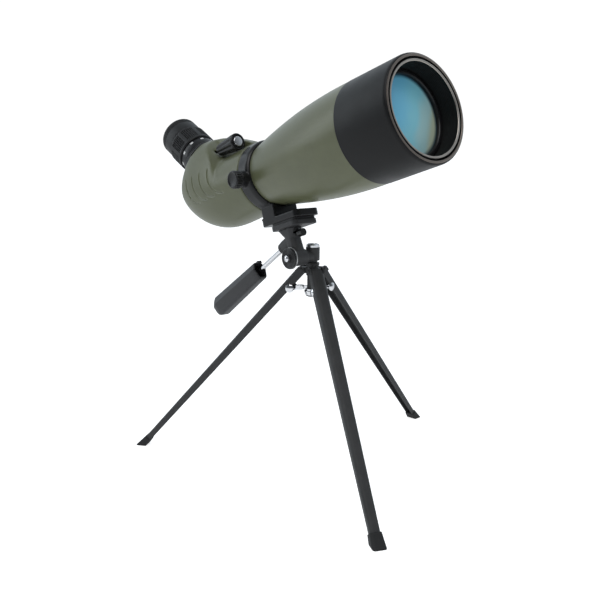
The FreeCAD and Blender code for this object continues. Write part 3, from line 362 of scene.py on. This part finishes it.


# ---- front lens: domed coated glass in its cell, with a painted reflection, painted rim shade and painted glow ----
def coating_with_painted_reflection(name, stops, painted_dark):
    """Coated glass with a painted reflection whose tint drifts across it, a painted glow, and a painted shade
    falling to a dark colour at its edge.
    """
    m = bpy.data.materials.new(name)
    m.use_nodes = True
    t = m.node_tree
    n, link = t.nodes, t.links
    p = n["Principled BSDF"]
    co = n.new("ShaderNodeTexCoord")
    split = n.new("ShaderNodeSeparateXYZ")
    link.new(co.outputs["UV"], split.inputs["Vector"])
    drift = n.new("ShaderNodeTexNoise")
    drift.inputs["Scale"].default_value = 1.6
    drift.inputs["Detail"].default_value = 1.0
    link.new(co.outputs["UV"], drift.inputs["Vector"])
    mixed = n.new("ShaderNodeMath")
    mixed.operation = "MULTIPLY_ADD"
    mixed.inputs[1].default_value = 0.22
    link.new(drift.outputs["Fac"], mixed.inputs[0])
    link.new(split.outputs["X"], mixed.inputs[2])
    # painted reflection: a colour ramp across the lens from one side to the other
    ramp = n.new("ShaderNodeValToRGB")
    ramp.color_ramp.interpolation = "EASE"
    while len(ramp.color_ramp.elements) < len(stops):
        ramp.color_ramp.elements.new(0.5)
    for e, (where, colour) in zip(ramp.color_ramp.elements, stops):
        e.position = where
        e.color = (*colour, 1)
    link.new(mixed.outputs["Value"], ramp.inputs["Fac"])
    # painted shade: the colour falls to a dark tone toward the lens's rim
    edge = n.new("ShaderNodeMapRange")
    edge.interpolation_type = "SMOOTHSTEP"
    edge.inputs["From Min"].default_value = 0.86
    edge.inputs["From Max"].default_value = 1.0
    link.new(split.outputs["Y"], edge.inputs["Value"])
    fade = n.new("ShaderNodeMix")
    fade.data_type = "RGBA"
    fade.inputs["B"].default_value = (*painted_dark, 1)
    link.new(edge.outputs["Result"], fade.inputs["Factor"])
    link.new(ramp.outputs["Color"], fade.inputs["A"])
    link.new(fade.outputs["Result"], p.inputs["Base Color"])
    p.inputs["Roughness"].default_value = 0.4
    p.inputs["Coat Weight"].default_value = 0.35
    p.inputs["Coat Roughness"].default_value = 0.06
    # painted glow: the lens emits its own colour though it is no lamp
    link.new(fade.outputs["Result"], p.inputs["Emission Color"])
    p.inputs["Emission Strength"].default_value = 0.25
    return m


def dome(name, radius, edge_z, bulge, place, body, material, replaced, tilt):
    """Lens with a domed front; its UV holds the place along tilt, the direction of the painted reflection, and the
    share of the radius, where the painted rim shade sets in.
    """
    rings, steps, back = 28, 128, 2.6
    bm = bmesh.new()
    uv = bm.loops.layers.uv.new("coat")
    facts = {}
    rows = []
    for i in range(rings + 1):
        share = i / rings
        row = []
        for k in range(steps if i else 1):
            a = TAU * k / steps
            x, y = radius * share * math.cos(a), radius * share * math.sin(a)
            v = bm.verts.new(place @ (Vector((x, y, edge_z + bulge * (1 - share ** 2))) * MM))
            # place across the lens along tilt, which the painted reflection follows
            painted_reflection_share = 0.5 + 0.5 * (x * math.sin(tilt) + y * math.cos(tilt)) / radius
            facts[v] = (painted_reflection_share, share)
            row.append(v)
        rows.append(row)
    lower = []
    for k in range(steps):
        a = TAU * k / steps
        v = bm.verts.new(place @ (Vector((radius * math.cos(a), radius * math.sin(a),
                                          edge_z - back)) * MM))
        facts[v] = (0.5, 1.0)
        lower.append(v)
    rows.append(lower)
    for i in range(len(rows) - 1):
        for k in range(steps):
            j = (k + 1) % steps
            if i == 0:
                bm.faces.new((rows[0][0], rows[1][k], rows[1][j]))
            else:
                bm.faces.new((rows[i][k], rows[i + 1][k], rows[i + 1][j], rows[i][j]))
    bm.faces.new(lower)
    for f in bm.faces:
        for loop in f.loops:
            loop[uv].uv = facts[loop.vert]
    return place_mesh(name, bm, body, material, replaced, sharp=50)


# painted reflection tints across the lens, then the painted shade colour at its rim
FRONT_PAINTED_REFLECTION = coating_with_painted_reflection("front_painted_reflection", (
    (0.16, (0.10, 0.35, 0.62)), (0.42, (0.13, 0.43, 0.62)), (0.68, (0.18, 0.48, 0.58)),
    (0.88, (0.29, 0.48, 0.50)), (1.0, (0.36, 0.42, 0.32))), (0.01, 0.03, 0.05))
LENS_R, LENS_EDGE_Z, LENS_BULGE = 34.95, -20.9, 3.0
# tilt sets the direction in which the painted reflection runs across the lens
dome("front_lens", LENS_R, LENS_EDGE_Z, LENS_BULGE, TUBE, "scope_body", FRONT_PAINTED_REFLECTION,
     ("objective_crown_lens",), tilt=math.radians(-155))


# ---- eyepiece, along the eyepiece axis (Z toward the eye from the housing's face, mm) ----
def rib_groups(groups, ribs, share, depth, low, high):
    """Wobble for a ring with groups of fine ribs between smooth lands."""
    def wobble(angle, z, r):
        if not low < z < high:
            return 0.0
        u = (angle / TAU * groups) % 1.0
        if u > share:
            return 0.0
        wave = 0.5 - 0.5 * math.cos(TAU * ribs * u / share)
        fade = min(1.0, (z - low) / 0.8, (high - z) / 0.8)
        return -depth * (1 - wave) * fade
    return wobble


ZOOM_R = 21.9
zoom_outline = filleted([(0.0, 17.05), (0.0, ZOOM_R - 0.9), (0.9, ZOOM_R), (21.1, ZOOM_R),
                         (22.0, ZOOM_R - 0.9), (22.0, 17.05)], 0.5)
spread = [(z, r) for z, r in zoom_outline if r > ZOOM_R - 0.02]
low_side = [p for p in zoom_outline if p[0] <= spread[0][0]]
high_side = [p for p in zoom_outline if p[0] >= spread[-1][0]]
side_rows = [(spread[0][0] + (spread[-1][0] - spread[0][0]) * k / 36, ZOOM_R) for k in range(1, 36)]
high_side.sort(key=lambda p: (-p[1], p[0]))
ZOOM = EYE @ Matrix.Translation((0, 0, ZOOM_SETBACK * MM))
lathe("zoom_grip_ring", low_side + side_rows + high_side, ZOOM, "zoom_ring",
      MATS["eyepiece_rubber"], ("zoom_ring",),
      steps=720, wobble=rib_groups(8, 6, 0.72, 1.15, 3.0, 19.0))

barrel_outline = [
    (-3.0, 14.8), (-3.0, 17.0), (6.2, 17.0), (6.2, 19.6), (6.6, 20.1), (7.4, 20.1), (7.8, 19.5),
    (8.4, 19.5), (8.9, 20.4), (17.2, 20.4), (18.2, 19.8), (18.2, 17.0), (50.0, 17.0), (50.0, 14.8)]
lathe("eyepiece_barrel_turned", filleted(barrel_outline, 0.25, 3), EYE, "scope_body",
      MATS["anodised_black"], ("eyepiece_barrel",), steps=160)
base_outline = [
    (0.0, 17.0), (0.0, 24.6), (1.3, 24.6), (1.6, 24.0), (2.2, 24.0), (2.5, 23.6), (3.6, 22.9),
    (4.0, 22.2), (4.6, 22.2), (4.9, 22.5), (6.0, 22.3), (6.0, 20.45), (5.0, 20.45), (5.0, 17.0)]
lathe("eyepiece_base_ring", filleted(base_outline, 0.25, 3), EYE, "scope_body",
      MATS["collar_black"], ("eyepiece_neck_ring",), steps=160)

CUP_LOW, CUP_HIGH, CUP_R = 40.8, 60.9, 20.9
cup_outline = [(CUP_LOW, 18.95), (CUP_LOW, CUP_R - 0.4), (CUP_LOW + 0.5, CUP_R)]
for groove in range(3):
    z = CUP_HIGH - 8.6 + 1.9 * groove
    cup_outline += [(z, CUP_R), (z + 0.25, CUP_R - 0.4), (z + 0.75, CUP_R - 0.4), (z + 1.0, CUP_R)]
# soft rolled rim: (below the top, inside the outer radius)
cup_outline += [(CUP_HIGH - down, CUP_R - inward) for down, inward in (
    (2.4, 0.2), (1.0, 0.9), (0.2, 2.2), (0.0, 3.4), (0.5, 4.8), (1.8, 5.8), (4.0, 6.2))]
cup_outline += [(50.3, 15.6), (50.3, 18.95)]
lathe("eyecup_rubber", filleted(cup_outline, 0.35, 4), EYE, "eyecup", MATS["eyepiece_rubber"],
      ("eyecup",), steps=160)


# ---- knobs ----
def flutes(count, depth, low, high, power=1.0):
    """Wobble for broad scooped flutes between two heights."""
    def wobble(angle, z, r):
        if not low < z < high:
            return 0.0
        fade = min(1.0, (z - low) / 1.2, (high - z) / 1.2)
        wave = 0.5 + 0.5 * math.cos(count * angle)
        return -depth * fade * wave ** power
    return wobble


def rows_between(start, end, count):
    """Evenly spaced rows on a straight side, without its ends."""
    return [tuple(a + (b - a) * k / count for a, b in zip(start, end)) for k in range(1, count)]


knob_side = [(-1.4, 8.3), (-6.0, 8.3), (-29.0, 6.0)]
knob_outline = [(-0.9, 0.0), (-0.9, 6.3), (-0.25, 6.6), (0.0, 7.2), (-0.3, 8.0), (-0.8, 8.3)]
knob_outline += [knob_side[0]] + rows_between(knob_side[0], knob_side[1], 8) + [knob_side[1]]
knob_outline += rows_between(knob_side[1], knob_side[2], 30) + [knob_side[2]]
knob_outline += [(-30.2, 5.5), (-31.0, 4.4), (-31.0, 0.0)]
lathe("focus_roller", knob_outline, KNOB, "focus_knob", MATS["knob_black"],
      ("focus_knob",), steps=180, wobble=flutes(9, 1.0, -30.0, -2.2, 1.6))
CAP_R = 4.8                # radius of the bright disc in the focus knob's face
face_outline = filleted([(-0.9, 0.0), (-0.9, 6.0), (-0.3, 5.9), (0.15, 5.5), (0.15, 4.9),
                         (0.55, 4.5), (0.9, 0.0)], 0.25)
lathe("focus_face", face_outline, KNOB, "focus_knob", [MATS["cap_metal"], MATS["knob_black"]],
      ("focus_knob_cap",), steps=96, paint=lambda z, r: 1 if r > CAP_R else 0)

lock_outline = [(-0.2, 0.0), (-0.2, 7.6), (0.5, 8.3)] + rows_between((0.5, 8.3), (5.9, 8.4), 10)
lock_outline += [(5.9, 8.3), (6.6, 7.7), (6.8, 6.9), (6.3, 6.2), (6.1, 5.6), (6.1, 0.0)]
lathe("lock_thumb_disc", lock_outline, LOCK, "collar_lock_knob", MATS["knob_black"],
      steps=192, wobble=flutes(20, 0.55, 0.3, 6.4))
shank_outline = filleted([(-8.7, 0.0), (-8.7, 2.0), (-0.21, 2.0), (-0.21, 0.0)], 0.2, 3)
lathe("lock_thumb_shank", shank_outline, LOCK, "collar_lock_knob", MATS["knob_black"],
      ("collar_lock_knob",), steps=48)

ridge_face = []
RIDGE_PITCH = 1.05         # between the tilt disc's turned rings
for k in range(5):
    r = 9.0 - RIDGE_PITCH * k
    ridge_face += [(11.75, r), (11.75, r - 0.45), (11.45, r - 0.6), (11.45, r - 0.95)]
disc_outline = [(9.5, 3.0), (9.5, 9.4), (9.9, 10.0), (11.2, 10.0), (11.7, 9.5)] + ridge_face
disc_outline += [(12.3, 3.6), (12.3, 3.0)]
lathe("tilt_friction_disc", disc_outline, TILT, body_of["tilt_disc"], MATS["disc_black"],
      ("tilt_disc",))


# ---- pan handle grip ----
def skin(bm, sections, place):
    """Faces between consecutive sections, with both ends closed."""
    rows = [[bm.verts.new(place @ (Vector(p) * MM)) for p in section] for section in sections]
    for one, two in zip(rows, rows[1:]):
        for k in range(len(one)):
            j = (k + 1) % len(one)
            bm.faces.new((one[k], one[j], two[j], two[k]))
    bm.faces.new(list(reversed(rows[0])))
    bm.faces.new(rows[-1])


def grip_ring(z, high, wide, corner=2.6):
    """Rounded six-cornered section: flat top, a crease on each flank and a narrower underside."""
    outline = [(high, 0.58 * wide), (0.22 * high, wide), (-high, 0.60 * wide),
               (-high, -0.60 * wide), (0.22 * high, -wide), (high, -0.58 * wide)]
    radii = (corner, 0.7, corner, corner, 0.7, corner)
    points = []
    for i, p in enumerate(outline):
        p = Vector(p)
        a, b = Vector(outline[i - 1]) - p, Vector(outline[(i + 1) % 6]) - p
        start, end = p + a.normalized() * radii[i], p + b.normalized() * radii[i]
        for k in range(7):
            u = k / 6
            points.append((1 - u) ** 2 * start + 2 * u * (1 - u) * p + u * u * end)
    return [(q.x, q.y, z) for q in points]


def grip_rings(*rows):
    """Sections from (along, half height, half width, corner) rows."""
    return [grip_ring(*row) for row in rows]


GRIP_LOW, GRIP_HIGH = 63.0, 152.0       # along the handle rod
GRIP_HALF, GRIP_SWELL = (9.0, 7.9), (1.7, 1.35)
GRIP_ROWS = 12


def handle_grip():
    """Open-fronted moulded grip with a chamfered butt."""
    bm = bmesh.new()
    lo, hi = GRIP_LOW, GRIP_HIGH
    first, last = lo + 1.0, hi - 9.5
    outer = grip_rings((lo + 0.4, 8.7, 7.6), (first, *GRIP_HALF))
    for k in range(1, GRIP_ROWS + 1):
        high, wide = (half + swell * k / GRIP_ROWS for half, swell in zip(GRIP_HALF, GRIP_SWELL))
        outer.append(grip_ring(first + (last - first) * k / GRIP_ROWS, high, wide))
    outer += grip_rings((hi - 7.6, 10.6, 9.15), (hi - 2.6, 8.6, 7.2), (hi - 0.9, 7.4, 6.2),
                        (hi, 6.0, 5.0, 2.0))
    inner = grip_rings((lo + 13, 5.0, 4.6, 1.6), (lo + 12, 6.0, 5.2, 1.6),
                       (lo + 1.0, 7.2, 6.1, 1.8), (lo, 7.5, 6.4, 1.8), (lo, 8.3, 7.2))
    skin(bm, inner + outer, HANDLE)
    bmesh.ops.reverse_faces(bm, faces=bm.faces)
    place_mesh("grip_moulding", bm, body_of["handle_grip"], MATS["grip_plastic"],
               ("handle_grip",), sharp=28)


def grip_tab():
    """Small bevelled key that stands out of the grip's open front, below the rod."""
    bm = bmesh.new()
    bmesh.ops.create_cube(bm, size=1.0)
    size, middle = Vector((2.0, 4.6, 7.4)), Vector((7.4, 0.0, 63.4))
    for v in bm.verts:
        v.co = HANDLE @ ((v.co * size + middle) * MM)
    bmesh.ops.bevel(bm, geom=list(bm.edges), offset=0.35 * MM, segments=2, affect="EDGES",
                    profile=0.6)
    place_mesh("grip_key", bm, body_of["handle_grip"], MATS["grip_plastic"],
               sharp=35)


handle_grip()
grip_tab()

# ---- prism housing ----
# s runs back from the rim along the tube axis, h is above it and side is away from it, in mm
GROOVES = [(235.0 + 14.5 * k, 16.5) for k in range(4)]      # arc centres (s, h)
GROOVE_R, GROOVE_DEPTH, GROOVE_WIDTH = 22.5, 0.6, 0.85
FLANK = 12.0               # grooves stay this far out to the side


def carve_housing(o):
    """Softens the shoulder under the focus knob and sinks the four arcs into both flanks."""
    inverse = TUBE.inverted()
    bm = bmesh.new()
    bm.from_mesh(o.data)

    def place_of(v):
        q = inverse @ v.co / MM
        return -q.z, q.x, q.y

    shoulder = []
    for v in bm.verts:
        s, h, side = place_of(v)
        if 236 < s < 292 and h > -6 and side > 2 and math.hypot(h, side) > 30.5:
            shoulder.append(v)
    for _ in range(26):
        bmesh.ops.smooth_vert(bm, verts=shoulder, factor=0.5, use_axis_x=True, use_axis_y=True,
                              use_axis_z=True)

    def groove_distance(s, h):
        """Distance to the nearest arc, and how far that arc has faded in there (0 to 1)."""
        nearest = (99.0, 0.0)
        for s0, h0 in GROOVES:
            ds, dh = s - s0, h - h0
            if ds > -1.0 and dh < 8.0:
                fade = step(-1.0, 3.0, ds) * (1 - step(4.0, 8.0, dh))
                away = abs(math.hypot(ds, dh) - GROOVE_R)
                if away < nearest[0]:
                    nearest = (away, fade)
        return nearest

    def by_groove(v, width):
        s, h, side = place_of(v)
        return abs(side) > FLANK and groove_distance(s, h)[0] < width

    for width in (2.6, 1.8):
        near = [e for e in bm.edges if all(by_groove(v, width) for v in e.verts)]
        bmesh.ops.subdivide_edges(bm, edges=near, cuts=1, use_grid_fill=True)
    bmesh.ops.triangulate(bm, faces=[f for f in bm.faces if len(f.verts) > 4])
    bm.normal_update()
    shifts = []
    for v in bm.verts:
        s, h, side = place_of(v)
        if abs(side) < FLANK or math.hypot(h, side) < 28:
            continue
        away, fade = groove_distance(s, h)
        outward = (TUBE.to_3x3() @ Vector((0, side, 0))).normalized()
        if away < 2.4 and v.normal.dot(outward) > 0.2:
            depth = GROOVE_DEPTH * fade * math.exp(-(away / GROOVE_WIDTH) ** 2)
            shifts.append((v, v.normal * (-depth * MM)))
    for v, move in shifts:
        v.co += move
    bm.to_mesh(o.data)
    bm.free()
    o.data.polygons.foreach_set("use_smooth", [True] * len(o.data.polygons))


carve_housing(softened("prism_housing", 0.95, 9))

# CAD node: voxel in mm, smoothing passes
MOULDED = {
    "tripod_collar": (0.55, 5), "tilt_stem": (0.4, 5), "pan_base": (0.36, 4),
    "platform": (0.4, 4), "hub_casting": (0.32, 4), "front_foot_cap": (0.34, 4),
    "left_foot_cap": (0.34, 4), "rear_foot_cap": (0.34, 4), "handle_collar": (0.3, 3)}
for node, (voxel, passes) in MOULDED.items():
    softened(node, voxel, passes)

# ---- stage: white floor, brighter to the camera than in the light that it throws ----
FLOOR_HALF = 12.0          # m
floor_mesh = bpy.data.meshes.new("floor")
bm = bmesh.new()
bmesh.ops.create_grid(bm, x_segments=1, y_segments=1, size=FLOOR_HALF)
bm.to_mesh(floor_mesh)
bm.free()
floor = bpy.data.objects.new("floor", floor_mesh)
bpy.context.scene.collection.objects.link(floor)
floor.location.z = -0.0002
floor_white = shade("floor_white", (0.9, 0.9, 0.9), 0.7, bump=0.02, mottle=0.01, spec=0.1)
ft = floor_white.node_tree
floor_shader = ft.nodes["Principled BSDF"]
floor_shader.inputs["Emission Color"].default_value = (1, 1, 1, 1)
glow = ft.nodes.new("ShaderNodeLightPath")
lift = ft.nodes.new("ShaderNodeMapRange")
lift.inputs["To Min"].default_value = 0.28
lift.inputs["To Max"].default_value = 0.8
ft.links.new(glow.outputs["Is Camera Ray"], lift.inputs["Value"])
ft.links.new(lift.outputs["Result"], floor_shader.inputs["Emission Strength"])
dress(floor, floor_white)

# ---- studio: bright behind the object, darker on the photographer's side ----
BEHIND = (-0.754, 0.656, 0.0)
world = bpy.data.worlds.new("studio")
bpy.context.scene.world = world
world.use_nodes = True
wt = world.node_tree
backdrop = wt.nodes["Background"]
direction = wt.nodes.new("ShaderNodeTexCoord")
facing = wt.nodes.new("ShaderNodeVectorMath")
facing.operation = "DOT_PRODUCT"
facing.inputs[1].default_value = BEHIND
wt.links.new(direction.outputs["Generated"], facing.inputs[0])
falloff = wt.nodes.new("ShaderNodeMapRange")
for key, value in (("From Min", -0.35), ("From Max", 0.75), ("To Min", 0.1), ("To Max", 0.95)):
    falloff.inputs[key].default_value = value
wt.links.new(facing.outputs["Value"], falloff.inputs["Value"])
ray = wt.nodes.new("ShaderNodeLightPath")
seen = wt.nodes.new("ShaderNodeMix")
seen.inputs["B"].default_value = 1.05
tone = wt.nodes.new("ShaderNodeMix")
tone.data_type = "RGBA"
tone.inputs["A"].default_value = (0.84, 0.93, 1.0, 1)
tone.inputs["B"].default_value = (1, 1, 1, 1)
wt.links.new(ray.outputs["Is Camera Ray"], tone.inputs["Factor"])
wt.links.new(tone.outputs["Result"], backdrop.inputs["Color"])
wt.links.new(ray.outputs["Is Camera Ray"], seen.inputs["Factor"])
wt.links.new(falloff.outputs["Result"], seen.inputs["A"])
wt.links.new(seen.outputs["Result"], backdrop.inputs["Strength"])


def softbox(name, where, size, watts, colour=(1, 1, 1)):
    """Rectangular studio light at an offset from the object's middle, aimed at it."""
    light = bpy.data.lights.new(name, "AREA")
    light.shape = "RECTANGLE"
    light.size, light.size_y = size
    light.energy = watts
    light.color = colour
    o = bpy.data.objects.new(name, light)
    o.location = MIDDLE + Vector(where)
    o.rotation_mode = "QUATERNION"
    o.rotation_quaternion = (-Vector(where)).to_track_quat("-Z", "Y")
    bpy.context.scene.collection.objects.link(o)


MIDDLE = PAN + Vector((0, 0, 0.02))
softbox("key", (0.5, -0.5, 1.1), (0.9, 0.9), 6.5)
softbox("left_strip", (-0.9, -0.7, 0.5), (0.3, 1.0), 2.6, (0.9, 0.96, 1.0))

# ---- camera ----
HEADING, LOOK_DOWN = Vector((-0.7544, 0.6564, 0)), math.radians(11.70)
CAMERA_ROLL = 0.01123      # radians
look = HEADING.normalized() * math.cos(LOOK_DOWN)
look.z = -math.sin(LOOK_DOWN)
cam_data = bpy.data.cameras.new("camera")
cam_data.sensor_fit = "HORIZONTAL"
cam_data.sensor_width = 36.0
cam_data.lens = 48.28
cam_data.clip_start, cam_data.clip_end = 0.02, 50.0
camera = bpy.data.objects.new("camera", cam_data)
camera.location = PAN + Vector((0.5653, -0.5073, 0.1056))
camera.rotation_mode = "QUATERNION"
roll = Matrix.Rotation(CAMERA_ROLL, 4, "Z").to_quaternion()
camera.rotation_quaternion = look.to_track_quat("-Z", "Y") @ roll
bpy.context.scene.collection.objects.link(camera)
bpy.context.scene.camera = camera
bpy.context.scene.view_settings.view_transform = "Standard"
